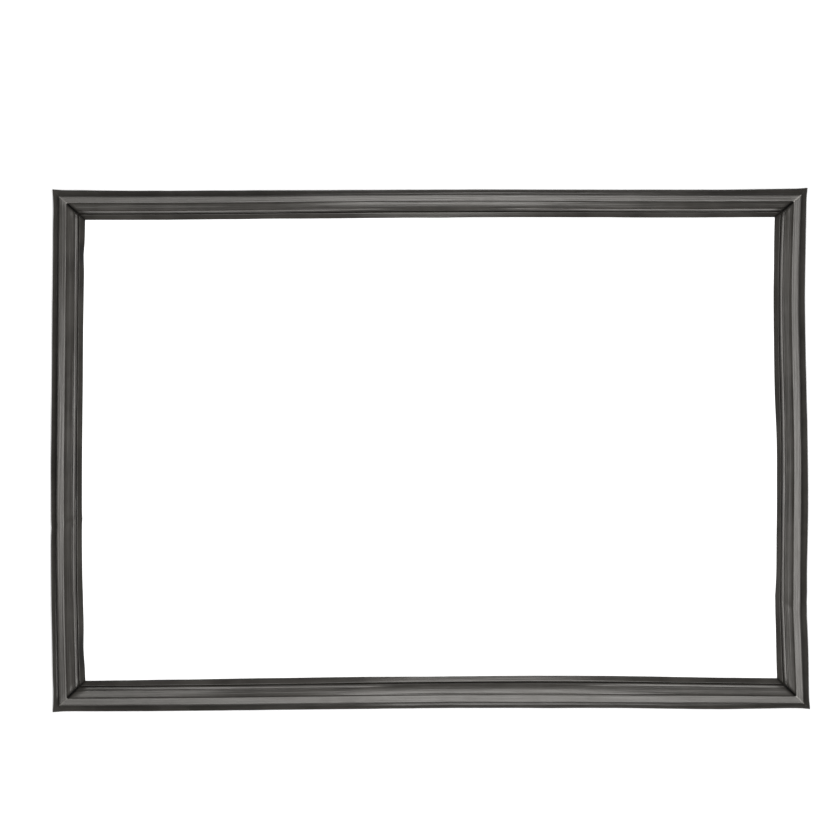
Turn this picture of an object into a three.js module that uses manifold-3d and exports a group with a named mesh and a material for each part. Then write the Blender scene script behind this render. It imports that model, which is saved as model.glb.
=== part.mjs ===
// Refrigerator door gasket: four lengths of one soft PVC extrusion, mitred and welded into a frame,
// with a flexible magnet strip sealed in the pocket of each side.
// Millimetres. The frame lies flat with its magnet face up (+Z) and its dart down, the long sides along X.

import * as THREE from 'three';
import { LoftGeometry } from 'three/addons/geometries/LoftGeometry.js';
import { mergeVertices } from 'three/addons/utils/BufferGeometryUtils.js';
import Module from 'manifold-3d';

const wasm = await Module();
wasm.setup();

// Frame, over the outer lips and without the small ears at the corners
const frameLength = 755;
const frameWidth = 521;

// Magnet strip, and the pocket that is extruded around it
const magnetWidth = 5.6;
const magnetThickness = 2.6;
const magnetClearance = 0.3;
const magnetEndGap = 9;
const pocketWall = 0.6;
const faceCornerRadius = 0.75;

// Bellows between the pocket and the base web
const bellowsHeight = 9.1;
const bellowsWall = 0.55;
const outerPleatDepth = 2.4;
const innerPleatDepth = 2.2;
const sharedWallLean = 2;

// Air cushion beside the pocket, from its crease to its ridge, as points to run a curve through: share of the
// reach, depth below the magnet face, slope. It is full in the middle of a side and sunken near the welds
const cushionReach = 10.4;
const cushionForms = {
  middle: [
    [0, 1.05, -0.5], [0.144, 0.8, 0.06], [0.404, 1.3, 0.28], [0.692, 2.5, 0.46],
    [0.779, 2.85, 0.25], [0.837, 2.9, 0.14], [0.938, 3.05, 0.2],
  ],
  corner: [
    [0, 1.45, 0.7], [0.135, 2.25, 0.42], [0.375, 3, 0.29], [0.635, 3.85, 0.34],
    [0.712, 4.1, 0.15], [0.788, 3.45, -0.06], [0.938, 3.42, 0.03],
  ],
};

// Base web, and the two lips that press on the door
const baseThickness = 1.3;
const wallFootInset = 0.7;
const outerLipReach = 6;
const innerLipReach = 6.6;
const outerLipDrop = 3.3;
const innerLipDrop = 3.6;
const lipRootThickness = 1.15;
const lipTipThickness = 0.65;

// Upper sides of the lips in the same way: share of the length from the foot, share of the drop, slope
const outerLipForm = [[0, 0, 0.3], [0.194, 0.15, 0.35], [0.418, 0.25, 0.1], [0.642, 0.38, 0.55], [0.95, 1, 1.1]];
const innerLipForm = [[0, 0, 0.5], [0.123, 0.15, 0.95], [0.288, 0.56, 0.9], [0.397, 0.67, 0.3], [0.96, 1, 0.32]];

// Dart that is pushed into the groove of the door
const dartLength = 9.6;
const stemThickness = 2.2;
const noseWidth = 1.4;
const frontBarbReach = 3.3;
const backBarbReach = 2.8;
const frontBarbHeight = 3.8;
const backBarbHeight = 7.3;
const barbLength = 3;
const barbThickness = 0.75;

// Weld at the mitres, trimmed flush on the magnet face, and the ears that the lips form there
const weldBead = 0.3;
const weldBeadReach = 1.2;
const earReach = 1;
const earLength = 12;

// Vent punched through the bellows, and the relief hole under the pocket
const ventRadius = 1.1;
const reliefRadius = 0.9;

// How the limp frame lies: sideways sway of each side, towards the middle, as the heights of one, two and
// three half waves, how far each side's first corner lies off square, and between which distances from the
// welds the cushion turns from its corner form to its full one
const lie = {
  bottom: { sway: [2.2, -0.6, -0.2], corner: [0.4, -0.8], full: [90, 300] },
  right: { sway: [2.4, -0.2, 1.3], corner: [1, 1.4], full: [150, 330] },
  top: { sway: [-0.1, -0.1, 0.4], corner: [-1.7, 0.4], full: [130, 300] },
  left: { sway: [-2.5, 0.7, -0.1], corner: [0.1, -0.8], full: [110, 270] },
};

// Fineness of the facets
const curveSteps = 4;
const formSteps = 2;
const holeSteps = 12;
const spansPerSide = 6;

// Levels and places across the profile that follow from the sizes: u runs inwards from the outer lip's tip,
// v up from the dart's nose
const pocketWidth = magnetWidth + 2 * (magnetClearance + pocketWall);
const pocketHeight = magnetThickness + 2 * (magnetClearance + pocketWall);
const baseTop = dartLength + baseThickness;
const pocketBottom = baseTop + bellowsHeight;
const faceLevel = pocketBottom + pocketHeight;
const pocketOuter = outerLipReach;
const pocketInner = pocketOuter + pocketWidth;
const cushionEnd = pocketInner + cushionReach;
const profileWidth = cushionEnd + innerLipReach;
const dartMiddle = (pocketOuter + cushionEnd) / 2;
const outerFoot = pocketOuter + wallFootInset;
const innerFoot = cushionEnd - wallFootInset;
const pleatLevel = baseTop + bellowsHeight / 2;

// Right half of the dart, from the nose up to the base web: each barb springs from the stem and points back
function dartHalf(side) {
  const at = (reach, level) => new THREE.Vector2(dartMiddle + side * reach, level);
  const stem = stemThickness / 2;
  const barb = (reach, level) => [
    at(reach, level - barbThickness / 2),
    at(reach - barbThickness / 2, level + barbThickness / 2),
    at(stem, level - barbLength / 2 + barbThickness / 2),
  ];
  const half = [
    at(noseWidth / 2, 0),
    ...barb(frontBarbReach, frontBarbHeight),
    at(stem, backBarbHeight - barbLength),
    ...barb(backBarbReach, backBarbHeight),
    at(stem, dartLength - stem / 2),
    at(stem * 1.5, dartLength),
  ];
  return side > 0 ? half : half.reverse();
}

// A smooth curve through points given as place, depth and slope
function throughKnots(knots) {
  const curve = new THREE.Path();
  knots.forEach(([place, depth, slope], i) => {
    if (i === 0) {
      curve.moveTo(place, -depth);
      return;
    }
    const [lastPlace, lastDepth, lastSlope] = knots[i - 1];
    const third = (place - lastPlace) / 3;
    curve.bezierCurveTo(
      lastPlace + third, -lastDepth - third * lastSlope, place - third, -depth + third * slope, place, -depth,
    );
  });
  return curve.getPoints(formSteps);
}

// A run of points moved to its left by a distance
function moveLeft(points, distance) {
  return points.map((p, i) => {
    const before = points[Math.max(i - 1, 0)];
    const after = points[Math.min(i + 1, points.length - 1)];
    const along = after.clone().sub(before).normalize();
    return new THREE.Vector2(p.x - along.y * distance, p.y + along.x * distance);
  });
}

// A lip from its root at the base web: the underside out to the blunt tip, then the top back to the foot
function lip(foot, root, reach, drop, form) {
  const side = Math.sign(root - foot);
  const length = reach + wallFootInset;
  const knots = form.map(([share, fall, slope]) => [share * length, fall * drop, slope]);
  const top = throughKnots(knots).map((p) => new THREE.Vector2(foot + side * p.x, baseTop + p.y));
  const thin = moveLeft(top, -side * lipTipThickness);
  const under = moveLeft(top, -side * lipRootThickness).map((p, i) => p.lerp(thin[i], i / (top.length - 1)));
  const end = top.at(-1);
  const blunt = new THREE.Vector2(foot + side * length, (end.y + under.at(-1).y) / 2);
  const clear = under.filter((p) => (p.x - root) * side > lipTipThickness);
  return [new THREE.Vector2(root, dartLength), ...clear, blunt, ...top.reverse()];
}

// Inner side of the bellows and the skin of the air cushion, from the base web up to the crease at the pocket
function cushionSkin(form) {
  const knots = cushionForms[form].map(([share, depth, slope]) => [share * cushionReach, depth, slope]);
  const skin = throughKnots(knots).map((p) => new THREE.Vector2(pocketInner + p.x, faceLevel + p.y)).reverse();
  const [ridge] = skin;
  const pleat = innerFoot - innerPleatDepth;
  const quarter = bellowsHeight / 4;
  const turn = cushionEnd - ridge.x;
  const wall = new THREE.Path();
  wall.moveTo(innerFoot, baseTop);
  wall.bezierCurveTo(innerFoot, baseTop + quarter, pleat, pleatLevel - quarter, pleat, pleatLevel);
  wall.bezierCurveTo(pleat, pleatLevel + quarter, cushionEnd, ridge.y - turn - quarter, cushionEnd, ridge.y - turn);
  wall.quadraticCurveTo(cushionEnd, ridge.y, ridge.x, ridge.y);
  return [...wall.getPoints(curveSteps), ...skin.slice(1)];
}

// Magnet face with its two rounded corners
function face() {
  const top = new THREE.Path();
  const r = faceCornerRadius;
  top.absarc(pocketInner - r, faceLevel - r, r, 0, Math.PI / 2);
  top.absarc(pocketOuter + r, faceLevel - r, r, Math.PI / 2, Math.PI);
  return top.getPoints(curveSteps);
}

// Outer side of the bellows, from the pocket down to the base web
function outerBellows() {
  const pleat = pocketOuter + outerPleatDepth;
  const quarter = bellowsHeight / 4;
  const wall = new THREE.Path();
  wall.moveTo(pocketOuter, pocketBottom);
  wall.bezierCurveTo(pocketOuter, pocketBottom - quarter, pleat, pleatLevel + quarter, pleat, pleatLevel);
  wall.bezierCurveTo(pleat, pleatLevel - quarter, outerFoot, baseTop + quarter, outerFoot, baseTop);
  return wall.getPoints(curveSteps);
}

// Cushion side of the wall that parts the two chambers, from the pocket down to the base web
function sharedWall() {
  const foot = pocketInner + sharedWallLean;
  const third = bellowsHeight / 3;
  const wall = new THREE.Path();
  wall.moveTo(pocketInner, pocketBottom);
  wall.bezierCurveTo(pocketInner, pocketBottom - third, foot, baseTop + third, foot, baseTop);
  return wall.getPoints(curveSteps);
}

// A closed outline, counterclockwise, with doubled points dropped
function outline(...runs) {
  const points = runs.flat();
  return points.filter((p, i) => p.distanceTo(points.at(i - 1)) > 1e-3);
}

// A section in both of the forms that the cushion takes
function bothForms(make) {
  return { middle: make('middle'), corner: make('corner') };
}

const profile = bothForms((form) => outline(
  dartHalf(1),
  lip(innerFoot, cushionEnd, innerLipReach, innerLipDrop, innerLipForm),
  cushionSkin(form),
  face(),
  outerBellows(),
  lip(outerFoot, pocketOuter, outerLipReach, outerLipDrop, outerLipForm).reverse(),
  dartHalf(-1),
));

const bellowsChamber = bothForms(() => outline(
  moveLeft(sharedWall(), -bellowsWall).reverse(),
  moveLeft(outerBellows(), bellowsWall),
));

const cushionChamber = bothForms((form) => {
  const inside = moveLeft(cushionSkin(form), bellowsWall);
  return outline(inside.slice(0, -1), [new THREE.Vector2(pocketInner, inside.at(-1).y)], sharedWall());
});

// A rectangle inside the pocket's outer faces, inset all round
function pocketInset(inset) {
  return [
    new THREE.Vector2(pocketOuter + inset, pocketBottom + inset),
    new THREE.Vector2(pocketInner - inset, pocketBottom + inset),
    new THREE.Vector2(pocketInner - inset, faceLevel - inset),
    new THREE.Vector2(pocketOuter + inset, faceLevel - inset),
  ];
}

// The four sides, anticlockwise from above: the way along, the way inwards, and the two frame sizes
const sides = [
  { name: 'bottom', along: [1, 0], inward: [0, 1], run: frameLength, across: frameWidth },
  { name: 'right', along: [0, 1], inward: [-1, 0], run: frameWidth, across: frameLength },
  { name: 'top', along: [-1, 0], inward: [0, -1], run: frameLength, across: frameWidth },
  { name: 'left', along: [0, -1], inward: [1, 0], run: frameWidth, across: frameLength },
];

// How far a point of the square frame is moved by the corners that lie off square
function cornerShift(x, y) {
  const [bottomLeft, bottomRight, topRight, topLeft] = sides.map((side) => lie[side.name].corner);
  const fx = x / frameLength + 0.5;
  const fy = y / frameWidth + 0.5;
  return [0, 1].map((axis) =>
    (1 - fx) * (1 - fy) * bottomLeft[axis] + fx * (1 - fy) * bottomRight[axis] +
    fx * fy * topRight[axis] + (1 - fx) * fy * topLeft[axis]);
}

// Sideways sway of a side at a share of its run
function swayAt(side, share) {
  return lie[side.name].sway.reduce(
    (sum, height, wave) => sum + height * Math.sin((wave + 1) * Math.PI * share), 0);
}

// A point of the frame: a share of the way along a side from mitre to mitre, and a place (u, v) on the profile
function place(side, share, u, v) {
  const clearRun = side.run - 2 * u;
  const fromMitre = Math.min(share, 1 - share) * clearRun;
  const lipShare = Math.max(0, 1 - u / outerLipReach);
  const ear = earReach * lipShare * Math.exp(-3 * fromMitre / earLength);
  const along = (share - 0.5) * (clearRun + 2 * ear * (fromMitre < earLength ? 1 : 0));
  const inward = u - side.across / 2 + swayAt(side, share) - ear;
  const x = side.along[0] * along + side.inward[0] * inward;
  const y = side.along[1] * along + side.inward[1] * inward;
  const [dx, dy] = cornerShift(x, y);
  return new THREE.Vector3(x + dx, y + dy, v);
}

// A section as it is at a share of a side's run
function formed(section, side, share) {
  const fromCorner = Math.min(share, 1 - share) * (side.run - profileWidth);
  const full = THREE.MathUtils.smoothstep(fromCorner, ...lie[side.name].full);
  return section.corner.map((p, i) => p.clone().lerp(section.middle[i], full));
}

// Shares of the run where the profile is set: even spans, and close ones at the weld bead and the ear
function sharesOf(side, withCorners) {
  const shares = [];
  for (let i = 0; i < spansPerSide; i++) shares.push(i / spansPerSide);
  if (!withCorners) return shares;
  const near = [weldBeadReach, earLength].map((reach) => reach / (side.run - profileWidth));
  return [0, ...near, ...shares.slice(1), ...near.reverse().map((share) => 1 - share)];
}

// A section with its upper walls swollen by the weld bead, all but the magnet face
function welded(section) {
  const count = section.length;
  return section.map((p, i) => {
    if (p.y < baseTop || p.y > faceLevel - faceCornerRadius) return p;
    const along = section[(i + 1) % count].clone().sub(section[(i + count - 1) % count]).normalize();
    return new THREE.Vector2(p.x + along.y * weldBead, p.y - along.x * weldBead);
  });
}

// A geometry as a manifold-3d solid
function solid(geometry) {
  const bare = new THREE.BufferGeometry().copy(geometry);
  const merged = mergeVertices(bare.deleteAttribute('normal').deleteAttribute('uv'), 1e-4);
  return new wasm.Manifold(new wasm.Mesh({
    numProp: 3,
    vertProperties: merged.attributes.position.array,
    triVerts: new Uint32Array(merged.index.array),
  }));
}

// A section carried round all four sides and closed on itself
function ring(section, withCorners = false) {
  const sections = sides.flatMap((side) => sharesOf(side, withCorners).map((share) => {
    const set = formed(section, side, share);
    const points = withCorners && share === 0 ? welded(set) : set;
    return points.map((p) => place(side, share, p.x, p.y));
  }));
  return solid(new LoftGeometry([...sections, sections[0]]));
}

// The punched vent leads from under the cushion through both chambers, the relief hole on into the pocket
function ventHoles() {
  const [bottom] = sides;
  const from = pocketOuter + outerPleatDepth + 3 * bellowsWall;
  const depth = cushionEnd - from;
  const vent = new THREE.CylinderGeometry(ventRadius, ventRadius, depth, holeSteps);
  vent.translate(...place(bottom, 0.5, from + depth / 2, pleatLevel).toArray());
  const relief = new THREE.CylinderGeometry(reliefRadius, reliefRadius, 2 * pocketWall, holeSteps);
  relief.rotateX(Math.PI / 2);
  relief.translate(...place(bottom, 0.5, pocketOuter + pocketWidth / 2, pocketBottom + pocketWall / 2).toArray());
  return solid(vent).add(solid(relief));
}

// The welded frame: the lofted profile less its pocket, its two air chambers and the holes
function gasketFrame() {
  const made = ring(profile, true)
    .subtract(ring(bothForms(() => pocketInset(pocketWall))))
    .subtract(ring(bellowsChamber))
    .subtract(ring(cushionChamber))
    .subtract(ventHoles())
    .getMesh();
  const geometry = new THREE.BufferGeometry();
  geometry.setAttribute('position', new THREE.BufferAttribute(made.vertProperties, 3));
  geometry.setIndex(new THREE.BufferAttribute(made.triVerts, 1));
  geometry.computeVertexNormals();
  return geometry;
}

// A magnet strip, cut square and stopped short of both mitres
function magnetStrip(side) {
  const section = pocketInset(pocketWall + magnetClearance);
  const reach = side.run / 2 - pocketInner - magnetEndGap;
  const cut = (end) => section.map((p) => place(side, 0.5 + end / (side.run - 2 * p.x), p.x, p.y));
  const between = sharesOf(side, false).filter((share) => Math.abs(share - 0.5) * side.run < reach);
  const sections = between.map((share) => section.map((p) => place(side, share, p.x, p.y)));
  return new LoftGeometry([cut(-reach), ...sections, cut(reach)], { capStart: true, capEnd: true });
}

const vinyl = new THREE.MeshStandardMaterial({ color: 0x4b4a47, roughness: 0.5, metalness: 0 });
const ferrite = new THREE.MeshStandardMaterial({ color: 0x2a2523, roughness: 0.85, metalness: 0 });

const gasket = new THREE.Group();

const frame = new THREE.Mesh(gasketFrame(), vinyl);
frame.name = 'gasket_frame';
gasket.add(frame);

for (const side of sides) {
  const strip = new THREE.Mesh(magnetStrip(side), ferrite);
  strip.name = `magnet_strip_${side.name}`;
  gasket.add(strip);
}

// The origin is under the middle of the frame as it lies
const middle = new THREE.Box3().setFromObject(frame).getCenter(new THREE.Vector3());
gasket.position.set(-middle.x, -middle.y, 0);

export default gasket;
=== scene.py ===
import math

import bmesh
import bpy
from mathutils import Matrix, Vector


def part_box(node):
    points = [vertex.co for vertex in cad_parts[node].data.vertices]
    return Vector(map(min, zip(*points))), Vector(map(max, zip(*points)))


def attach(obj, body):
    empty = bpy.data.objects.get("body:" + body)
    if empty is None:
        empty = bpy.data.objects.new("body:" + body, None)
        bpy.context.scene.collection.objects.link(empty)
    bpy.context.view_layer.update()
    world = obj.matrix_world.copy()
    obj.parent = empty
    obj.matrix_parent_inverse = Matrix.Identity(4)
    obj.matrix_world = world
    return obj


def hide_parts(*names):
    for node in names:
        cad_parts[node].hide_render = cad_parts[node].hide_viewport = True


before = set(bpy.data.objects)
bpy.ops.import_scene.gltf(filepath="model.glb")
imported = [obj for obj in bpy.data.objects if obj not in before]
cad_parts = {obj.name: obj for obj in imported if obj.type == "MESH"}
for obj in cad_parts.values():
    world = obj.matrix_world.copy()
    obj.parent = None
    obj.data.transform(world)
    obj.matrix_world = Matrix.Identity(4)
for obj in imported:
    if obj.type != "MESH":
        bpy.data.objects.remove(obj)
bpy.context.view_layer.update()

mm = 0.001
ringLow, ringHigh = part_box("gasket_frame")
print("CAD frame loaded, ring height", round((ringHigh.z - ringLow.z) / mm, 2), "mm")


# Nodes

class Wire:  # one output socket; every operator on it adds a Math node
    def __init__(self, board, socket):
        self.board = board
        self.socket = socket

    def math(self, operation, *others):
        maths = self.board.node("ShaderNodeMath", {"operation": operation}, dict(enumerate([self, *others])))
        return Wire(self.board, maths.outputs[0])

    def flipped(self, operation, first):
        maths = self.board.node("ShaderNodeMath", {"operation": operation}, {0: first, 1: self})
        return Wire(self.board, maths.outputs[0])

    def __add__(self, other):
        return self.math("ADD", other)

    def __sub__(self, other):
        return self.math("SUBTRACT", other)

    def __mul__(self, other):
        return self.math("MULTIPLY", other)

    def __truediv__(self, other):
        return self.math("DIVIDE", other)

    def __neg__(self):
        return self.math("MULTIPLY", -1.0)

    def __rsub__(self, other):
        return self.flipped("SUBTRACT", other)

    def __rtruediv__(self, other):
        return self.flipped("DIVIDE", other)

    __radd__ = __add__
    __rmul__ = __mul__

    def bell(self, reach):  # 1 at nought, falling off smoothly past reach on either side
        share = self / reach
        return (-(share * share)).math("EXPONENT")

    def ramp(self, low, high, toLow=0.0, toHigh=1.0):  # smooth step from toLow to toHigh
        values = {"Value": self, "From Min": low, "From Max": high, "To Min": toLow, "To Max": toHigh}
        return self.board.wire("ShaderNodeMapRange", {"interpolation_type": "SMOOTHSTEP"}, values)


class Board:  # a node tree that nodes are laid on
    def __init__(self, tree):
        self.tree = tree

    def node(self, kind, settings=None, sockets=None):
        made = self.tree.nodes.new(kind)
        for name, value in (settings or {}).items():
            setattr(made, name, value)
        for key, value in (sockets or {}).items():
            if isinstance(value, Wire):
                self.tree.links.new(value.socket, made.inputs[key])
            else:
                made.inputs[key].default_value = value
        return made

    def wire(self, kind, settings=None, sockets=None, output=0):
        return Wire(self, self.node(kind, settings, sockets).outputs[output])

    def join(self, x, y, z):
        return self.wire("ShaderNodeCombineXYZ", {}, {"X": x, "Y": y, "Z": z})

    def split(self, vector):
        parts = self.node("ShaderNodeSeparateXYZ", {}, {0: vector})
        return [Wire(self, out) for out in parts.outputs]

    def noise(self, vector, scale, detail=2.0, roughness=0.5):
        values = {"Vector": vector, "Scale": scale, "Detail": detail, "Roughness": roughness}
        return self.wire("ShaderNodeTexNoise", {}, values)

    def mixColour(self, amount, first, second):
        return self.wire("ShaderNodeMix", {"data_type": "RGBA"}, {0: amount, 6: first, 7: second}, 2)


# Section of the soft profile: u runs inwards from the outer lip's tip, v up from the dart's nose

section = {
    "outerLip": 6.0,  # reach of the lips past the bellows
    "innerLip": 6.6,
    "lipRoot": 1.1,
    "lipTip": 0.65,
    "pocketWidth": 7.4,
    "pocketHeight": 4.4,
    "pocketWall": 0.6,
    "cornerRadius": 0.75,
    "cushion": 10.4,  # reach of the air cushion past the pocket
    "bellows": 9.1,
    "wall": 0.55,
    "footInset": 0.7,
    "outerPleat": 2.4,
    "innerPleat": 2.2,
    "wallLean": 2.0,
    "base": 1.3,
    "dart": 9.6,
    "stem": 2.2,
    "nose": 1.4,
    "barbs": [(3.3, 3.8), (2.8, 7.3)],  # reach and height of each pair
    "barbLength": 3.0,
    "barbThickness": 0.75,
    "barbCut": 0.22,
    "lipNose": 0.45,
    "softRise": 5.5,  # height above the pleat over which the skin grows limp
    "lipGive": 0.35,  # how limp the inner lip is next to the cushion
    "ridgeBack": 0.9,  # the ridge's place before the bellows wall, and half its width
    "ridgeReach": 1.7,
    "sharpAngle": 38,
}

# The cushion beside the magnet pocket, from its crease to its ridge: place past the pocket, depth below
# the magnet face, slope. It is full in the middle of a side and sunken towards the welded corners
cushionForms = {
    "middle": [(0.0, 0.95, 0.5), (0.7, 1.15, -0.06), (1.6, 1.05, 0.04), (4.2, 1.35, 0.2), (7.2, 2.35, 0.42),
               (8.1, 2.75, 0.42), (8.7, 3.0, 0.36), (9.75, 3.4, 0.38)],
    "corner": [(0.0, 1.45, 0.7), (0.7, 1.9, 0.5), (1.5, 2.25, 0.4), (3.9, 3.0, 0.3), (6.6, 3.85, 0.34),
               (7.4, 4.1, 0.15), (8.15, 3.42, 0.04), (9.75, 3.55, 0.1)],
}

# The lips' upper sides, from the foot to the tip, in the same way. The inner one has a narrow slot at its
# root, and both hang steeper towards the corners
lipForms = {
    "inner": {
        "middle": [(0.0, 0.0, 0.4), (0.65, 0.5, 2.5), (1.4, 3.6, 0.3), (2.0, 2.3, -0.7), (2.5, 2.15, 0.26),
                   (4.5, 2.75, 0.33), (6.95, 3.6, 0.34)],
        "corner": [(0.0, 0.0, 0.4), (0.65, 0.5, 2.5), (1.4, 3.6, 0.3), (2.0, 2.5, -0.6), (2.5, 2.5, 0.5),
                   (4.5, 3.75, 0.62), (6.95, 5.3, 0.7)],
    },
    "outer": {
        "middle": [(0.0, 0.0, 0.2), (1.1, 0.4, 0.3), (2.1, 0.6, 0.06), (3.4, 0.72, 0.1), (4.5, 1.15, 0.6),
                   (6.45, 3.0, 1.0)],
        "corner": [(0.0, 0.0, 0.1), (1.1, 0.18, 0.25), (2.1, 0.55, 0.45), (3.4, 1.25, 0.6), (4.5, 1.95, 0.66),
                   (6.45, 3.4, 0.8)],
    },
}

outerFace = section["outerLip"]
innerFace = outerFace + section["pocketWidth"]
cushionEnd = innerFace + section["cushion"]
profileWidth = cushionEnd + section["innerLip"]
baseLevel = section["dart"] + section["base"]
pocketLevel = baseLevel + section["bellows"]
faceLevel = pocketLevel + section["pocketHeight"]
dartMiddle = (outerFace + cushionEnd) / 2
outerFoot = outerFace + section["footInset"]
innerFoot = cushionEnd - section["footInset"]
pleatLevel = baseLevel + section["bellows"] / 2


def bell(distance, reach):
    return math.exp(-(distance / reach) ** 2)


def smooth(low, high, value):
    share = max(0.0, min(1.0, (value - low) / (high - low)))
    return share * share * (3 - 2 * share)


def bezier(points, steps):  # a Bezier curve of any degree, without its last point
    def at(t):
        row = [Vector(p) for p in points]
        while len(row) > 1:
            row = [a.lerp(b, t) for a, b in zip(row, row[1:])]
        return row[0]
    return [at(i / steps) for i in range(steps)]


def cutCorners(points, size):  # an open run of points with its inner corners cut off
    run = [Vector(points[0])]
    for before, corner, after in zip(points, points[1:], points[2:]):
        corner = Vector(corner)
        back = Vector(before) - corner
        ahead = Vector(after) - corner
        cut = min(size, back.length / 2.1, ahead.length / 2.1)
        run += [corner + back.normalized() * cut, corner + ahead.normalized() * cut]
    return run + [Vector(points[-1])]


def dartHalf(side):  # right or left half of the dart, from the nose up to the base web
    stem = section["stem"] / 2
    thick = section["barbThickness"] / 2
    points = [(section["nose"] / 4, 0), (section["nose"] / 2, 0)]
    for row, (reach, level) in enumerate(section["barbs"]):
        if row:
            points.append((stem, level - section["barbLength"]))
        points += [(reach, level - thick), (reach - thick, level + thick)]
        points.append((stem, level - section["barbLength"] / 2 + thick))
    top = section["dart"]
    points += [(stem, top - stem / 2), (stem * 1.5, top), (stem * 3, top)]
    half = [Vector((dartMiddle + side * u, v)) for u, v in cutCorners(points, section["barbCut"])]
    return half if side > 0 else half[::-1]


def throughKnots(knots, steps):  # a smooth curve through (place, depth, slope) knots
    points = []
    for (a, aDepth, aSlope), (b, bDepth, bSlope) in zip(knots, knots[1:]):
        third = (b - a) / 3
        points += bezier([(a, -aDepth), (a + third, -aDepth - third * aSlope),
                          (b - third, -bDepth + third * bSlope), (b, -bDepth)], steps)
    return points + [Vector((knots[-1][0], -knots[-1][1]))]


def moveLeft(points, distance):
    moved = []
    for i, p in enumerate(points):
        along = (points[min(i + 1, len(points) - 1)] - points[max(i - 1, 0)]).normalized()
        moved.append(p + Vector((-along.y, along.x)) * distance)
    return moved


def lip(foot, root, knots):  # underside from the root to the blunt tip, then the top back to the foot
    side = math.copysign(1, root - foot)
    top = [Vector((foot + side * p.x, baseLevel + p.y)) for p in throughKnots(knots, 3)]
    end = top[-1]
    under = []
    for share in (0.12, 0.24, 0.4, 0.55, 0.7, 0.85, 1.0):  # thins out towards the tip
        place = root + side * (abs(end.x - root) * share)
        above = min(p.y for p in top if abs(p.x - place) < 0.7)
        thickness = section["lipRoot"] + (section["lipTip"] - section["lipRoot"]) * share
        under.append(Vector((place, above - thickness)))
    beyond = end.x + side * section["lipNose"]
    nib = [under[-1], Vector((beyond, under[-1].y)), Vector((beyond, end.y - 0.1)), end]
    return [Vector((root, section["dart"]))] + under[:-1] + bezier(nib, 4) + top[::-1][:-1]


def cushionSkin(form):  # from the base web over the pleat and ridge to the crease at the pocket
    skin = throughKnots(cushionForms[form], 4)
    skin = [Vector((innerFace + p.x, faceLevel + p.y)) for p in skin][::-1]
    ridge = skin[0]
    pleat = innerFoot - section["innerPleat"]
    quarter = section["bellows"] / 4
    turn = cushionEnd - ridge.x
    end = Vector((cushionEnd, ridge.y - turn))
    wall = bezier([(innerFoot, baseLevel), (innerFoot, baseLevel + quarter), (pleat, pleatLevel - quarter),
                   (pleat, pleatLevel)], 7)
    wall += bezier([(pleat, pleatLevel), (pleat, pleatLevel + quarter), end - Vector((0, quarter)), end], 6)
    wall += bezier([end, end + Vector((0, turn * 0.6)), ridge + Vector((turn * 0.5, 0)), ridge], 4)
    return wall + skin


def faceRun():  # the magnet face with its rounded corners
    r = section["cornerRadius"]
    arc = [Vector((math.cos(a * math.pi / 10), math.sin(a * math.pi / 10))) * r for a in range(6)]
    right = [Vector((innerFace - r + p.x, faceLevel - r + p.y)) for p in arc]
    left = [Vector((outerFace + r - p.x, faceLevel - r + p.y)) for p in reversed(arc)]
    flat = [right[-1].lerp(left[0], i / 5) for i in range(1, 5)]
    return right + flat + left


def outerBellows(steps=6):
    pleat = outerFace + section["outerPleat"]
    quarter = section["bellows"] / 4
    upper = [(outerFace, pocketLevel), (outerFace, pocketLevel - quarter), (pleat, pleatLevel + quarter),
             (pleat, pleatLevel)]
    lower = [(pleat, pleatLevel), (pleat, pleatLevel - quarter), (outerFoot, baseLevel + quarter),
             (outerFoot, baseLevel)]
    return bezier(upper, steps) + bezier(lower, steps) + [Vector((outerFoot, baseLevel))]


def sharedWall():
    foot = innerFace + section["wallLean"]
    third = section["bellows"] / 3
    points = [(innerFace, pocketLevel), (innerFace, pocketLevel - third), (foot, baseLevel + third),
              (foot, baseLevel)]
    return bezier(points, 6) + [Vector((foot, baseLevel))]


def outlineOf(runs):  # one closed outline, counterclockwise, with a flag for each point's run
    points = []
    for name, run in runs:
        points += [(p, name) for p in run if not points or (p - points[-1][0]).length > 1e-4]
    if (points[0][0] - points[-1][0]).length < 1e-4:
        points.pop()
    return points


def skinOutline(form):
    return outlineOf([
        ("dart", dartHalf(1)),
        ("innerLip", lip(innerFoot, cushionEnd, lipForms["inner"][form])),
        ("cushion", cushionSkin(form)),
        ("face", faceRun()),
        ("bellows", outerBellows()),
        ("outerLip", lip(outerFoot, outerFace, lipForms["outer"][form])[::-1]),
        ("dart", dartHalf(-1)),
    ])


def cushionChamber(form):
    skin = cushionSkin(form)
    inner = moveLeft(skin, section["wall"])[:-1:2] + [Vector((innerFace, skin[-1].y - section["wall"]))]
    return outlineOf([("ceiling", inner), ("chamber", sharedWall())])


def bellowsChamber(form):
    walls = [moveLeft(sharedWall(), -section["wall"])[::-1], moveLeft(outerBellows(4), section["wall"])]
    return outlineOf([("chamber", wall) for wall in walls])


def pocket(form):
    inset = section["pocketWall"]
    low = Vector((outerFace + inset, pocketLevel + inset))
    high = Vector((innerFace - inset, faceLevel - inset))
    corners = [low, Vector((high.x, low.y)), high, Vector((low.x, high.y))]
    return outlineOf([("chamber", corners)])


def lipShare(point, run):  # minus one at the outer lip's tip, one at the inner lip's, nought between
    if run == "outerLip":
        return min(0.0, point.x / outerFoot - 1)
    if run == "innerLip":
        return max(0.0, (point.x - innerFoot) / (profileWidth - innerFoot))
    return 0.0


def addAttributes(mesh, values):
    for key, row in values.items():
        vector = isinstance(row[0], tuple)
        layer = mesh.attributes.new(key, "FLOAT_VECTOR" if vector else "FLOAT", "POINT")
        flat = [x for item in row for x in item] if vector else row
        layer.data.foreach_set("vector" if vector else "value", flat)


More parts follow.
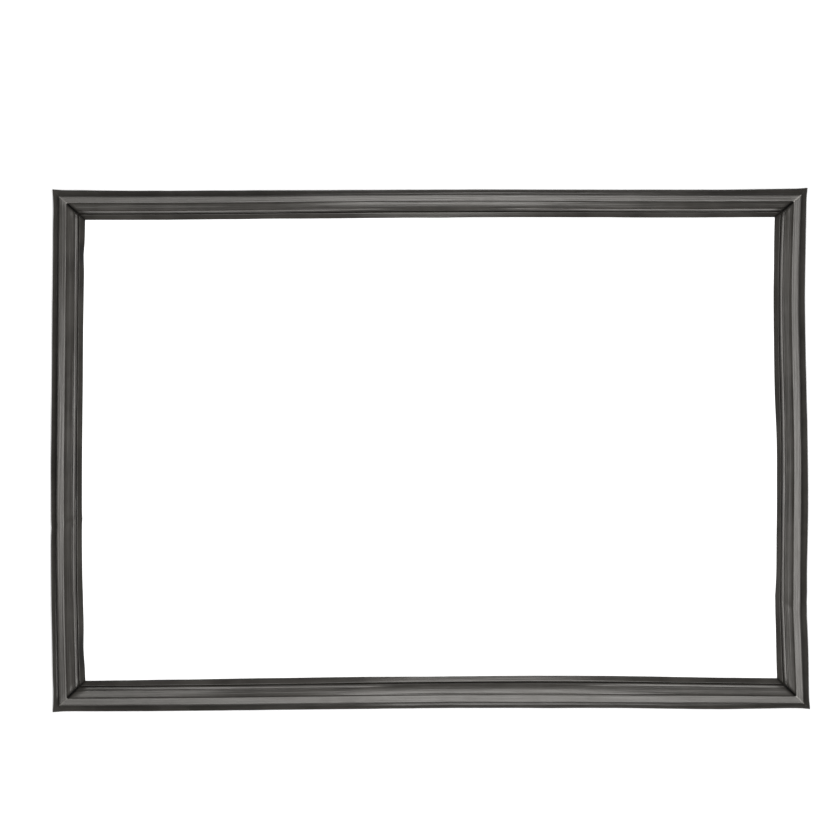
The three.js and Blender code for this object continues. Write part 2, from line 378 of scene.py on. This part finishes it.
def sectionObject(name, outline):  # the outline as a mesh, with what the sweep needs to know of each point
    middle = outline("middle")
    corner = outline("corner")
    count = len(middle)
    mesh = bpy.data.meshes.new(name)
    mesh.from_pydata([(p.x * mm, p.y * mm, 0) for p, run in middle], [], [])
    values = {"cornerForm": [], "outward": [], "lip": [], "soft": [], "ridge": [], "edge": []}
    for i, (p, run) in enumerate(middle):
        before = (p - middle[i - 1][0]).normalized()
        after = (middle[(i + 1) % count][0] - p).normalized()
        along = (before + after).normalized()
        values["cornerForm"].append((corner[i][0].x * mm, corner[i][0].y * mm, 0))
        values["outward"].append((along.y, -along.x, 0))
        values["lip"].append(lipShare(p, run))
        rise = max(0.0, min(1.0, (p.y - pleatLevel) / section["softRise"]))
        soft = rise if run in ("cushion", "ceiling") else 0.0
        if run == "innerLip":
            soft = section["lipGive"] * min(1.0, lipShare(p, run) * 4)
        values["soft"].append(soft)
        ridge = bell(p.x - cushionEnd + section["ridgeBack"], section["ridgeReach"])
        values["ridge"].append(rise * ridge if run == "cushion" else 0.0)
        turn = 0.0 if run in ("chamber", "ceiling") else before.cross(after) * 2
        values["edge"].append(max(0.0, min(1.0, turn)))
    addAttributes(mesh, values)
    made = bpy.data.objects.new(name, mesh)
    bpy.context.scene.collection.objects.link(made)
    return made


# Stations: where along each side the section is set, and what the limp seal does there

ring = {
    "length": 755.0,
    "width": 521.0,
    "spacing": 8.0,
    "near": [0, 0.3, 0.6, 1, 1.6, 2.4, 3.4, 4.8, 6.6, 8.8, 11.4, 14.5, 18, 22, 26.5, 31.5, 37],
    "corners": {"bottomLeft": (-0.3, -0.8), "bottomRight": (-0.6, 1.4), "topRight": (-3.3, 1.3),
                "topLeft": (-0.6, -0.8)},
    "ears": [0.7, 0.7, 0.7, 0.7],  # bottom left, bottom right, top right, top left
    # strength of the painted highlight along each corner's weld bead on the magnet face, in the same corner
    # order
    "welds": [0.3, 1.0, 0.8, 0.5],
    "flatFade": 14,  # distance from a weld over which each of these sets in
    "rollFade": 10,
    "curlFade": 20,
    "creaseReach": 4.0,
    "foldSteps": [-5, -3, -1, 0, 1, 3, 5],  # stations about a fold
}

sideNames = ["bottom", "right", "top", "left"]

# How each side lies: sway sideways as the heights of one, two and three half waves; from which to which
# distance from either weld the cushion turns full, and how full; the notches of the outer lip near either
# end; and, at even steps along the side, how far the section narrows, rolls and sags, how far each lip
# reaches past its drawn place, and how flat the outer one lies
lie = {
    "bottom": {"sway": [2.2, -0.6, -0.2],
              "full": [(200, 370), (90, 260)], "fullness": 1.3, "notch": [0.1, 0.1],
               "squeeze": [-0.01, -0.02, -0.05, -0.08, -0.01],
               "roll": [0.0, 0.0, 0.03, 0.02, 0.05, 0.08, 0.08, 0.0, 0.0],
               "sag": [-0.18, -0.12, 0.04, 0.0, -0.05, -0.07, -0.07, -0.02, 0.0],
               "outer": [0.1, 0.2, 0.1, 0.0, -0.3, -0.3, -0.7, 0.25, -0.9],
               "inner": [-0.2, 0.35, 0.8, 0.7, 0.0, 0.2, 0.1, -0.05, 0.35],
               "flat": [0.0, 0.0, 0.1, 0.7, 1.3, 1.2, 1.0, 0.8, 0.4]},
    "right": {"sway": [2.4, -0.2, 1.3],
             "full": [(220, 480), (220, 480)], "fullness": 1.0, "notch": [0.0, 0.0],
              "squeeze": [-0.06, -0.05, -0.06],
              "roll": [0.06, 0.05, 0.04, 0.0, 0.0], "sag": [-0.06, -0.02, 0.0, 0.03, 0.05],
              "outer": [-0.35, 0.75, 0.5, 1.0, 0.55, 0.25, 0.3, 0.4, -0.2],
              "inner": [0.25, -0.6, -2.15, -1.9, -1.55, -0.5, -1.0, -0.7, 0.25],
              "flat": [0.4, 0.5, 0.4, 0.2, 0.15, 0.15, 0.25, 0.5, 0.3]},
    "top": {"sway": [-0.9, -0.1, 0.4],
           "full": [(150, 320), (190, 350)], "fullness": 1.0, "notch": [0.0, 0.0],
            "squeeze": [0.12, 0.11, 0.08], "roll": [-0.05, -0.05, -0.02, 0.0, 0.0, 0.0, -0.05, 0.0, 0.0],
            "sag": [0.08, 0.12, 0.0, 0.0, 0.0, 0.0, 0.12, 0.0, 0.0],
            "outer": [1.4, 0.5, 0.3, 0.0, -0.05, 0.05, 0.55, 0.65, 1.4],
            "inner": [0.3, 0.5, 0.4, 0.6, 1.05, 0.95, 0.45, 0.6, 0.5],
            "flat": [0.3, 0.6, 1.0, 1.1, 1.1, 0.8, 0.1, 0.0, 0.0]},
    "left": {"sway": [-2.5, 0.7, -0.1],
            "full": [(220, 480), (220, 480)], "fullness": 1.0, "notch": [0.3, 0.3],
             "squeeze": [-0.03, -0.03, -0.03],
             "roll": [-0.1, -0.08, -0.02, 0.02, 0.03, 0.02, 0.0, -0.06, -0.06],
             "sag": [0.2, 0.2, 0.18, 0.1, 0.05, 0.1, 0.17, 0.2, 0.2],
             "outer": [0.35, 0.1, 0.25, 0.1, 0.2, -0.1, 0.05, 0.0, 0.35],
             "inner": [0.35, -0.25, -0.65, -0.35, -0.45, -0.3, -0.3, 0.15, 0.2],
             "flat": [1.0, 1.0, 0.7, 0.5, 0.5, 0.7, 1.0, 1.3, 1.4]},
}

# Marks of packing and handling, by the share of the side's run: folds, and lips that are curled under
folds = [
    {"side": "right", "at": 0.178, "height": 0.6, "reach": 14, "crease": 0.4},
    {"side": "left", "at": 0.648, "height": 0.45, "reach": 5, "crease": 0.7},
]
curls = [
    {"side": "left", "lip": "inner", "at": 0.078, "reach": 10, "amount": 1.0},
    {"side": "left", "lip": "inner", "at": 0.932, "reach": 15, "amount": 1.0},
    {"side": "right", "lip": "outer", "at": 0.2, "reach": 4, "amount": 0.5},
]


def between(row, share):  # a value from a row of evenly spaced ones, smoothly
    at = share * (len(row) - 1)
    first = min(int(at), len(row) - 2)
    return row[first] + (row[first + 1] - row[first]) * smooth(0, 1, at - first)


def distancesAlong(side, run):  # close together at the welds and folds, evenly spaced between
    near = ring["near"]
    span = run - 2 * near[-1]
    count = round(span / ring["spacing"])
    even = [near[-1] + span * i / count for i in range(1, count)]
    marks = [fold["at"] * run for fold in folds if fold["side"] == side]
    marks = [mark + step for mark in marks for step in ring["foldSteps"]]
    even = [d for d in even if all(abs(d - mark) > 2 for mark in marks)]
    return near + sorted(even + marks) + [run - d for d in reversed(near)]


def widthAt(side, share):  # how far the section narrows, and how far the lips reach past their places
    given = lie[sideNames[side % 4]]
    squeeze, outer, inner = (between(given[key], share) for key in ("squeeze", "outer", "inner"))
    return squeeze, outer * mm, inner * mm


def stationObject():
    places = []
    values = {"sway": [], "width": [], "widthBefore": [], "widthAfter": [], "atCorner": [], "innerCurl": [],
              "outerCurl": [], "crease": [], "ear": [], "notch": [], "flat": [], "roll": [], "sag": [],
              "weldMark": []}
    for number, side in enumerate(sideNames):
        clearRun = (ring["length"] if number % 2 == 0 else ring["width"]) - profileWidth
        given = lie[side]
        for distance in distancesAlong(side, clearRun):
            share = distance / clearRun
            end = 0 if share < 0.5 else 1
            weld = (number + end) % 4
            fromCorner = min(distance, clearRun - distance)
            sway = sum(h * math.sin((wave + 1) * math.pi * share) for wave, h in enumerate(given["sway"]))
            crease = 0.0
            for fold in folds:
                if fold["side"] == side:
                    away = abs(share - fold["at"]) * clearRun
                    sway += fold["height"] * math.exp(-away / fold["reach"])
                    crease += fold["crease"] * bell(away, ring["creaseReach"])
            curl = {"inner": 0.0, "outer": 0.0}
            for mark in curls:
                if mark["side"] == side:
                    away = (share - mark["at"]) * clearRun
                    curl[mark["lip"]] += mark["amount"] * bell(away, mark["reach"])
            places.append((share, number, 0))
            values["sway"].append(sway * mm)
            values["crease"].append(crease)
            values["width"].append(widthAt(number, share))
            values["widthBefore"].append(widthAt(number - 1, 1.0))
            values["widthAfter"].append(widthAt(number + 1, 0.0))
            values["atCorner"].append(1 - smooth(*given["full"][end], fromCorner) * given["fullness"])
            for key, fade in [("flat", "flatFade"), ("roll", "rollFade"), ("sag", "rollFade")]:
                values[key].append(between(given[key], share) * smooth(0, ring[fade], fromCorner))
            for key in curl:
                values[key + "Curl"].append(curl[key] * smooth(0, ring["curlFade"], fromCorner))
            values["ear"].append(ring["ears"][weld] * mm)
            values["notch"].append(given["notch"][end] * mm)
            # strength of the painted weld highlight at this end of the side
            values["weldMark"].append(ring["welds"][weld])
    mesh = bpy.data.meshes.new("gasketStations")
    mesh.from_pydata(places, [], [])
    addAttributes(mesh, values)
    made = bpy.data.objects.new("gasketStations", mesh)
    bpy.context.scene.collection.objects.link(made)
    return made


# The sweep, as a Geometry Nodes tree: one vertex for each section point at each station

sweepSizes = {
    "Frame length": ring["length"] * mm,
    "Frame width": ring["width"] * mm,
    "Section middle": dartMiddle * mm,
    "Roll axis": (outerFace + innerFace) / 2 * mm,
    "Pocket end": innerFace * mm,
    "Ear length": 6 * mm,
    "Notch place": 21 * mm,
    "Notch length": 9 * mm,
    "Weld bead": 0.22 * mm,
    "Weld bead on the face": 0.5,
    "Weld reach": 0.45 * mm,
    # reach of the painted highlight along the weld on the magnet face
    "Weld mark reach": 0.72 * mm,
    "Weld foot": section["dart"] * mm,
    "Face level": (faceLevel - section["cornerRadius"]) * mm,
    "Crack depth": 3.6 * mm,
    "Crack reach": 0.9 * mm,
    "Crack widening": 1.6,
    # strength of the painted shade in the mitre crack and at the sunken ridge ends
    "Crack darkness": 1.4,
    "Ridge end depth": 1.5 * mm,
    "Ridge end reach": 4.4 * mm,
    "Curl back": 0.9 * mm,
    "Curl down": 3.2 * mm,
    "Crease depth": 1.1 * mm,
    "Wave height": 0.4 * mm,
    "Wave length": 34 * mm,
}


def sweepTree():
    tree = bpy.data.node_groups.new("Sweep gasket section", "GeometryNodeTree")
    face = tree.interface
    face.new_socket("Section", in_out="INPUT", socket_type="NodeSocketGeometry")
    face.new_socket("Ring", in_out="OUTPUT", socket_type="NodeSocketGeometry")
    face.new_socket("Stations", in_out="INPUT", socket_type="NodeSocketObject")
    face.new_socket("Finish", in_out="INPUT", socket_type="NodeSocketMaterial")
    for name in sweepSizes:
        face.new_socket(name, in_out="INPUT", socket_type="NodeSocketFloat")
    for name in ring["corners"]:
        face.new_socket(name, in_out="INPUT", socket_type="NodeSocketVector")

    board = Board(tree)
    given = board.node("NodeGroupInput")

    def size(name):
        return Wire(board, given.outputs[name])

    stations = board.wire("GeometryNodeObjectInfo", {}, {"Object": size("Stations")}, "Geometry")

    def count(geometry):
        return board.wire("GeometryNodeAttributeDomainSize", {}, {"Geometry": geometry}, "Point Count")

    sectionCount = count(size("Section"))
    stationCount = count(stations)
    grid = board.wire("GeometryNodeMeshGrid", {}, {
        "Size X": 1.0, "Size Y": 1.0, "Vertices X": sectionCount + 1, "Vertices Y": stationCount + 1}, "Mesh")
    index = board.wire("GeometryNodeInputIndex")
    row = ((index + 0.5) / (stationCount + 1)).math("FLOOR")
    column = index - row * (stationCount + 1)
    onSection = row.math("MODULO", sectionCount)
    onStation = column.math("MODULO", stationCount)
    position = board.wire("GeometryNodeInputPosition")

    def sampled(geometry, at, name=None, vector=False):
        kind = "FLOAT_VECTOR" if vector else "FLOAT"
        value = position
        if name:
            value = board.wire("GeometryNodeInputNamedAttribute", {"data_type": kind}, {"Name": name})
        sockets = {"Geometry": geometry, "Value": value, "Index": at}
        return board.wire("GeometryNodeSampleIndex", {"data_type": kind, "domain": "POINT"}, sockets)

    def ofSection(name, vector=False):
        return sampled(size("Section"), onSection, name, vector)

    def ofStation(name, vector=False):
        return sampled(stations, onStation, name, vector)

    share, side, spare = board.split(sampled(stations, onStation, vector=True))
    middleForm = sampled(size("Section"), onSection, vector=True)
    lip = ofSection("lip")
    outerLip = (-lip).math("MAXIMUM", 0.0)
    innerLip = lip.math("MAXIMUM", 0.0)
    atCorner = ofStation("atCorner")
    towards = atCorner + (1.0 - ofStation("flat") - atCorner) * outerLip.math("GREATER_THAN", 0.0)
    form = board.wire("ShaderNodeMix", {"data_type": "VECTOR", "clamp_factor": False}, {
        0: towards, 4: middleForm, 5: ofSection("cornerForm", True)}, 1)
    u, v, spare = board.split(form)
    normalU, normalV, spare = board.split(ofSection("outward", True))
    soft = ofSection("soft")

    crossing = side.math("MODULO", 2.0)
    run = size("Frame length") + crossing * (size("Frame width") - size("Frame length"))
    across = size("Frame length") + size("Frame width") - run
    fromMitre = share.math("MINIMUM", 1.0 - share) * (run - 2.0 * u)

    # ears and notches of the outer lip, weld bead, and the crack where the cushions meet at the mitre
    ear = fromMitre.bell(size("Ear length")) * ofStation("ear") * outerLip
    notch = (fromMitre - size("Notch place")).bell(size("Notch length"))
    notch = notch * ofStation("notch") * outerLip
    aboveFoot = v.math("GREATER_THAN", size("Weld foot"))
    onFace = v.math("GREATER_THAN", size("Face level"))
    bead = fromMitre.bell(size("Weld reach")) * size("Weld bead") * aboveFoot
    bead = bead * (1.0 - onFace * size("Weld bead on the face"))
    crackReach = size("Crack reach") * (1.0 + ofSection("ridge") * size("Crack widening"))
    crack = (-fromMitre / crackReach).math("EXPONENT") * size("Crack depth") * soft
    ridgeEnd = fromMitre.bell(size("Ridge end reach")) * size("Ridge end depth") * ofSection("ridge")
    pinch = crack.math("MAXIMUM", ridgeEnd)

    # lips that are curled and wavy
    innerBend = ofStation("innerCurl") * innerLip * innerLip
    outerBend = ofStation("outerCurl") * outerLip * outerLip
    alongLip = (share - 0.5) * run / size("Wave length")
    wave = board.noise(board.join(alongLip, side * 3.7, lip.math("SIGN") * 2.0), 1.0, 1.0) - 0.5
    wave = wave * size("Wave height") * lip * lip * (1.0 - fromMitre.bell(size("Notch place")))

    def inwardFor(name):  # how far inwards the point lies, with this side's widths or its neighbour's
        squeeze, outerReach, innerReach = board.split(ofStation(name, True))
        return u + (size("Section middle") - u) * squeeze - outerLip * outerReach + innerLip * innerReach

    before = inwardFor("widthBefore")
    after = inwardFor("widthAfter")
    curled = (outerBend - innerBend) * size("Curl back")
    inward = inwardFor("width") + normalU * bead - ear + notch + curled + wave * lip.math("SIGN")
    rolled = (size("Roll axis") - u) * ofStation("roll") * v.ramp(size("Weld foot"), size("Face level"))
    sagging = (u - size("Pocket end")).math("MAXIMUM", 0.0) * ofStation("sag") * aboveFoot
    hanging = (innerBend + outerBend) * size("Curl down")
    creased = ofStation("crease") * soft * size("Crease depth")
    up = v + rolled - sagging + normalV * bead - pinch - hanging + wave - creased
    along = ((share - 0.5) * (run - before - after) + (before - after) / 2.0
             + (share - 0.5).math("SIGN") * (ear - normalU * bead))
    flat = board.join(along, inward - across / 2.0 + ofStation("sway"), 0.0)
    turned = board.wire("ShaderNodeVectorRotate", {"rotation_type": "Z_AXIS"}, {
        "Vector": flat, "Angle": side * (math.pi / 2)})

    # the four corners lie a little off square
    x, y, spare = board.split(turned)
    fx = x / size("Frame length") + 0.5
    fy = y / size("Frame width") + 0.5
    corner = {name: board.split(size(name)) for name in ring["corners"]}

    def shift(axis):
        low = corner["bottomLeft"][axis] * (1.0 - fx) + corner["bottomRight"][axis] * fx
        high = corner["topLeft"][axis] * (1.0 - fx) + corner["topRight"][axis] * fx
        return low * (1.0 - fy) + high * fy

    place = board.join(x + shift(0), y + shift(1), up)
    swept = board.wire("GeometryNodeSetPosition", {}, {"Geometry": grid, "Position": place})
    lay = board.join(u, v, along)
    # painted highlight: a pale band along the weld bead on the magnet face, as strong as that corner's weld
    # highlight
    weld = fromMitre.bell(size("Weld mark reach")) * onFace * ofStation("weldMark")
    # painted shade: darker in the mitre crack and at the sunken ridge ends, as deep as they sink, and on the
    # curled inner lips
    paintedShade = pinch / size("Crack depth") * size("Crack darkness")
    paintedShade = paintedShade + ofStation("innerCurl") * innerLip.ramp(0.15, 0.6)
    # stored for the material: weld as a painted highlight on the face welds, crack as painted shade
    for name, kind, value in [("lay", "FLOAT_VECTOR", lay), ("edge", "FLOAT", ofSection("edge")),
                              ("weld", "FLOAT", weld), ("crack", "FLOAT", paintedShade)]:
        swept = board.wire("GeometryNodeStoreNamedAttribute", {"data_type": kind, "domain": "POINT"}, {
            "Geometry": swept, "Name": name, "Value": value})
    closed = board.wire("GeometryNodeMergeByDistance", {}, {"Geometry": swept, "Distance": 1e-6})
    plain = board.wire("GeometryNodeRealizeInstances", {}, {"Geometry": closed})
    finished = board.wire("GeometryNodeSetMaterial", {}, {"Geometry": plain, "Material": size("Finish")})
    board.node("NodeGroupOutput", {}, {"Ring": finished})
    return tree


def sweep(tree, name, outline, stations, finish, inside=False):  # one section carried round, as a mesh
    source = sectionObject(name, outline)
    modifier = source.modifiers.new("Sweep", "NODES")
    modifier.node_group = tree
    corners = {key: tuple(c * mm for c in xy) + (0.0,) for key, xy in ring["corners"].items()}
    inputs = {"Stations": stations, "Finish": finish, **sweepSizes, **corners}
    for item in tree.interface.items_tree:
        if item.name in inputs and item.in_out == "INPUT":
            modifier[item.identifier] = inputs[item.name]
    evaluated = source.evaluated_get(bpy.context.evaluated_depsgraph_get())
    mesh = bpy.data.meshes.new_from_object(evaluated)
    bpy.data.objects.remove(source)
    build = bmesh.new()
    build.from_mesh(mesh)
    if (build.calc_volume(signed=True) < 0) != inside:
        bmesh.ops.reverse_faces(build, faces=build.faces)
    build.to_mesh(mesh)
    build.free()
    print(name, len(mesh.polygons), "faces")
    return mesh


# Materials

vinyl = {
    "base": (0.031, 0.0285, 0.025),
    "bloom": (0.12, 0.113, 0.102),
    "shade": (0.014, 0.013, 0.0115),
    # weld: pale colour painted as a highlight along the weld bead on the magnet face
    "weld": (0.42, 0.4, 0.37),
    # crack: near-black painted shade in the mitre cracks, at the sunken ridge ends and on curled inner lips
    "crack": (0.003, 0.003, 0.003),
    "sheen": (1.0, 0.975, 0.94),
    "roughness": 0.36,
    "streakTone": 1.18,
    "bumpDepth": 0.2 * mm,
}


def newMaterial(name):
    material = bpy.data.materials.new(name)
    material.use_nodes = True
    board = Board(material.node_tree)
    shader = material.node_tree.nodes["Principled BSDF"]
    return material, board, shader


def connect(board, wire, shader, name):
    board.tree.links.new(wire.socket, shader.inputs[name])


def gasketVinyl():  # satin extruded PVC: die lines along the length, faint mottling, handling marks, dust; with a painted highlight along the weld beads on the magnet face and painted shade in the mitre cracks, at the sunken ridge ends and on curled inner lips
    material, board, shader = newMaterial("gasketVinyl")
    lay = board.wire("ShaderNodeAttribute", {"attribute_name": "lay"}, {}, "Vector")
    edge = board.wire("ShaderNodeAttribute", {"attribute_name": "edge"}, {}, "Fac")
    # the weld attribute carries the painted highlight along the weld beads on the magnet face
    weld = board.wire("ShaderNodeAttribute", {"attribute_name": "weld"}, {}, "Fac")
    # the crack attribute carries painted shade in the mitre cracks, at the sunken ridge ends and on curled
    # inner lips
    crack = board.wire("ShaderNodeAttribute", {"attribute_name": "crack"}, {}, "Fac")
    place = board.wire("ShaderNodeTexCoord", {}, {}, "Object")
    u, v, along = board.split(lay)

    dieLines = board.noise(board.join(u * 2600.0, v * 2600.0, along * 6.0), 1.0, 3.0, 0.65)
    streaks = board.noise(board.join(u * 700.0, v * 700.0, along * 14.0), 1.0, 2.0)
    mottle = board.noise(place, 22.0, 3.0, 0.6)
    grain = board.noise(place, 2400.0, 2.0, 0.6)
    dust = board.noise(place, 900.0, 1.0).ramp(0.70, 0.80)
    rubbed = board.noise(place, 70.0, 4.0, 0.7).ramp(0.5, 0.75)

    paler = tuple(c * vinyl["streakTone"] for c in vinyl["base"])
    tone = board.mixColour(streaks.ramp(0.3, 0.7), (*vinyl["base"], 1), (*paler, 1))
    tone = board.mixColour(mottle.ramp(0.35, 0.75) * 0.22, tone, (*vinyl["bloom"], 1))
    tone = board.mixColour((1.0 - mottle).ramp(0.5, 0.72) * 0.3, tone, (*vinyl["shade"], 1))
    tone = board.mixColour(edge * rubbed * 0.3, tone, (*vinyl["bloom"], 1))
    # painted highlight along the weld bead on the magnet face, broken up by the rubbed noise
    tone = board.mixColour(weld * rubbed.ramp(0.0, 0.6, 0.7, 1.0), tone, (*vinyl["weld"], 1))
    # painted shade in the mitre cracks, at the sunken ridge ends and on curled inner lips
    tone = board.mixColour((crack * 1.5).math("MINIMUM", 1.0), tone, (*vinyl["crack"], 1))
    tone = board.mixColour(dust * 0.25, tone, (*vinyl["bloom"], 1))
    connect(board, tone, shader, "Base Color")

    roughness = vinyl["roughness"] + (streaks - 0.5) * 0.16 + (mottle - 0.5) * 0.14
    roughness = roughness + rubbed * 0.05 + dust * 0.1 - weld * 0.12 + crack * 0.3
    connect(board, roughness, shader, "Roughness")

    height = streaks + dieLines * 0.25 + grain * 0.1
    values = {"Strength": 1.0, "Distance": vinyl["bumpDepth"], "Height": height}
    bump = board.node("ShaderNodeBump", {}, values)
    connect(board, Wire(board, bump.outputs[0]), shader, "Normal")
    shader.inputs["Specular IOR Level"].default_value = 0.55
    shader.inputs["Specular Tint"].default_value = (*vinyl["sheen"], 1)
    return material


def magnetFerrite():  # rubber-bonded ferrite strip: nearly black, matt, with a fine pressed grain
    material, board, shader = newMaterial("magnetFerrite")
    place = board.wire("ShaderNodeTexCoord", {}, {}, "Object")
    grain = board.noise(place, 1800.0, 3.0, 0.6)
    cloud = board.noise(place, 60.0, 2.0)
    tone = board.mixColour(cloud.ramp(0.3, 0.7), (0.02, 0.017, 0.015, 1), (0.034, 0.029, 0.026, 1))
    connect(board, tone, shader, "Base Color")
    connect(board, 0.72 + grain * 0.16, shader, "Roughness")
    bump = board.node("ShaderNodeBump", {}, {"Strength": 0.4, "Distance": 0.0001, "Height": grain})
    connect(board, Wire(board, bump.outputs[0]), shader, "Normal")
    return material


# Build the gasket

vents = {
    "radius": 1.1,
    "reliefRadius": 0.9,
    "sides": 20,
}


def cylinderInto(build, radius, start, end):
    axis = Vector(end) - Vector(start)
    spin = axis.to_track_quat("Z", "Y").to_matrix().to_4x4()
    spin.translation = (Vector(start) + Vector(end)) / 2
    bmesh.ops.create_cone(build, cap_ends=True, segments=vents["sides"], radius1=radius, radius2=radius,
                          depth=axis.length, matrix=spin)


def ventCutter():  # the vent under the ridge, into both chambers, and the relief hole into the pocket
    sway = lie["bottom"]["sway"][0] - lie["bottom"]["sway"][2]
    corners = ring["corners"]
    dx = (corners["bottomLeft"][0] + corners["bottomRight"][0]) / 2
    dy = (corners["bottomLeft"][1] + corners["bottomRight"][1]) / 2 + sway - ring["width"] / 2

    def at(u, v):
        return Vector((dx, u + dy, v)) * mm

    outerWall = outerFace + section["outerPleat"] + 3 * section["wall"]
    middle = outerFace + section["pocketWidth"] / 2
    build = bmesh.new()
    cylinderInto(build, vents["radius"] * mm, at(outerWall, pleatLevel), at(cushionEnd, pleatLevel))
    floor = pocketLevel + section["pocketWall"] / 2
    cylinderInto(build, vents["reliefRadius"] * mm, at(middle, floor - section["pocketWall"]),
                 at(middle, floor + section["pocketWall"]))
    mesh = bpy.data.meshes.new("ventCutter")
    build.to_mesh(mesh)
    build.free()
    made = bpy.data.objects.new("ventCutter", mesh)
    bpy.context.scene.collection.objects.link(made)
    return made


def doorGasket():
    finish = gasketVinyl()
    tree = sweepTree()
    stations = stationObject()
    build = bmesh.new()
    build.from_mesh(sweep(tree, "gasketSkin", skinOutline, stations, finish))
    for name, outline in [("magnetPocket", pocket), ("bellowsChamber", bellowsChamber),
                          ("cushionChamber", cushionChamber)]:
        build.from_mesh(sweep(tree, name, outline, stations, finish, inside=True))
    low, high = (Vector([pick(v.co[i] for v in build.verts) for i in range(3)]) for pick in (min, max))
    shift = (ringLow + ringHigh - low - high) / 2  # the CAD's origin is under the middle of the ring
    shift.z = 0
    bmesh.ops.translate(build, verts=build.verts, vec=shift)
    mesh = bpy.data.meshes.new("door_gasket")
    build.to_mesh(mesh)
    build.free()
    gasket = bpy.data.objects.new("door_gasket", mesh)
    bpy.context.scene.collection.objects.link(gasket)
    cutter = ventCutter()
    cutter.data.transform(Matrix.Translation(shift))
    cut = gasket.modifiers.new("Vents", "BOOLEAN")
    cut.solver = "MANIFOLD"
    cut.object = cutter
    evaluated = gasket.evaluated_get(bpy.context.evaluated_depsgraph_get())
    done = bpy.data.meshes.new_from_object(evaluated)
    gasket.modifiers.remove(cut)
    gasket.data = done
    bpy.data.objects.remove(cutter)
    bpy.data.objects.remove(stations)
    done.materials.clear()
    done.materials.append(finish)
    done.polygons.foreach_set("material_index", [0] * len(done.polygons))
    done.shade_smooth()
    done.set_sharp_from_angle(angle=math.radians(section["sharpAngle"]))
    print("door gasket:", len(done.polygons), "faces")
    return gasket


gasket = doorGasket()
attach(gasket, "root")
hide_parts("gasket_frame")

ferrite = magnetFerrite()
for name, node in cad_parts.items():
    if name.startswith("magnet_strip"):
        node.data.materials.clear()
        node.data.materials.append(ferrite)
print("magnet strips finished")

# Studio

studio = {
    "photoWidth": 840.0,  # the photograph's width as laid on the object, at one millimetre to the pixel
    "aim": (-10.5, 30.05),
    "lens": 400.0,
    "lampHeight": 2000.0,
    "world": 0.145,
    "floor": 6000.0,
    "floorGlow": 0.55,  # seen by the camera only
}


def paleFloor():
    half = studio["floor"] / 2 * mm
    mesh = bpy.data.meshes.new("floor")
    corners = [(-half, -half, 0), (half, -half, 0), (half, half, 0), (-half, half, 0)]
    mesh.from_pydata(corners, [], [(0, 1, 2, 3)])
    material, board, shader = newMaterial("paleFloor")
    shader.inputs["Base Color"].default_value = (0.9, 0.9, 0.9, 1)
    shader.inputs["Roughness"].default_value = 0.9
    seen = board.wire("ShaderNodeLightPath", output="Is Camera Ray")
    shader.inputs["Emission Color"].default_value = (1, 1, 1, 1)
    connect(board, seen * studio["floorGlow"], shader, "Emission Strength")
    mesh.materials.append(material)
    floor = bpy.data.objects.new("floor", mesh)
    bpy.context.scene.collection.objects.link(floor)


# Softboxes overhead: size across and along, middle, watts
softboxes = [
    {"size": (780, 1100), "at": (90, -60), "watts": 24.5},
    {"size": (450, 2400), "at": (40, -30), "watts": 12},
]


def softbox(given):
    lamp = bpy.data.lights.new("softbox", "AREA")
    lamp.shape = "ELLIPSE"
    lamp.size = given["size"][0] * mm
    lamp.size_y = given["size"][1] * mm
    lamp.energy = given["watts"]
    box = bpy.data.objects.new("softbox", lamp)
    box.location = Vector((*given["at"], studio["lampHeight"])) * mm
    box.visible_camera = False
    bpy.context.scene.collection.objects.link(box)


def surroundings():
    world = bpy.data.worlds.new("studio")
    bpy.context.scene.world = world
    world.use_nodes = True
    board = Board(world.node_tree)
    seen = board.wire("ShaderNodeLightPath", output="Is Camera Ray")
    back = world.node_tree.nodes["Background"]
    back.inputs["Color"].default_value = (1, 1, 1, 1)
    connect(board, studio["world"] + seen * (1 - studio["world"]), back, "Strength")


def viewpoint():
    camera = bpy.data.cameras.new("camera")
    camera.lens = studio["lens"]
    camera.sensor_width = 36.0
    camera.clip_end = 60.0
    stand = bpy.data.objects.new("camera", camera)
    distance = studio["photoWidth"] * studio["lens"] / camera.sensor_width
    stand.location = (studio["aim"][0] * mm, studio["aim"][1] * mm, (distance + baseLevel) * mm)
    bpy.context.scene.collection.objects.link(stand)
    bpy.context.scene.camera = stand


paleFloor()
for given in softboxes:
    softbox(given)
surroundings()
viewpoint()
bpy.context.scene.view_settings.view_transform = "Standard"
print("studio set")
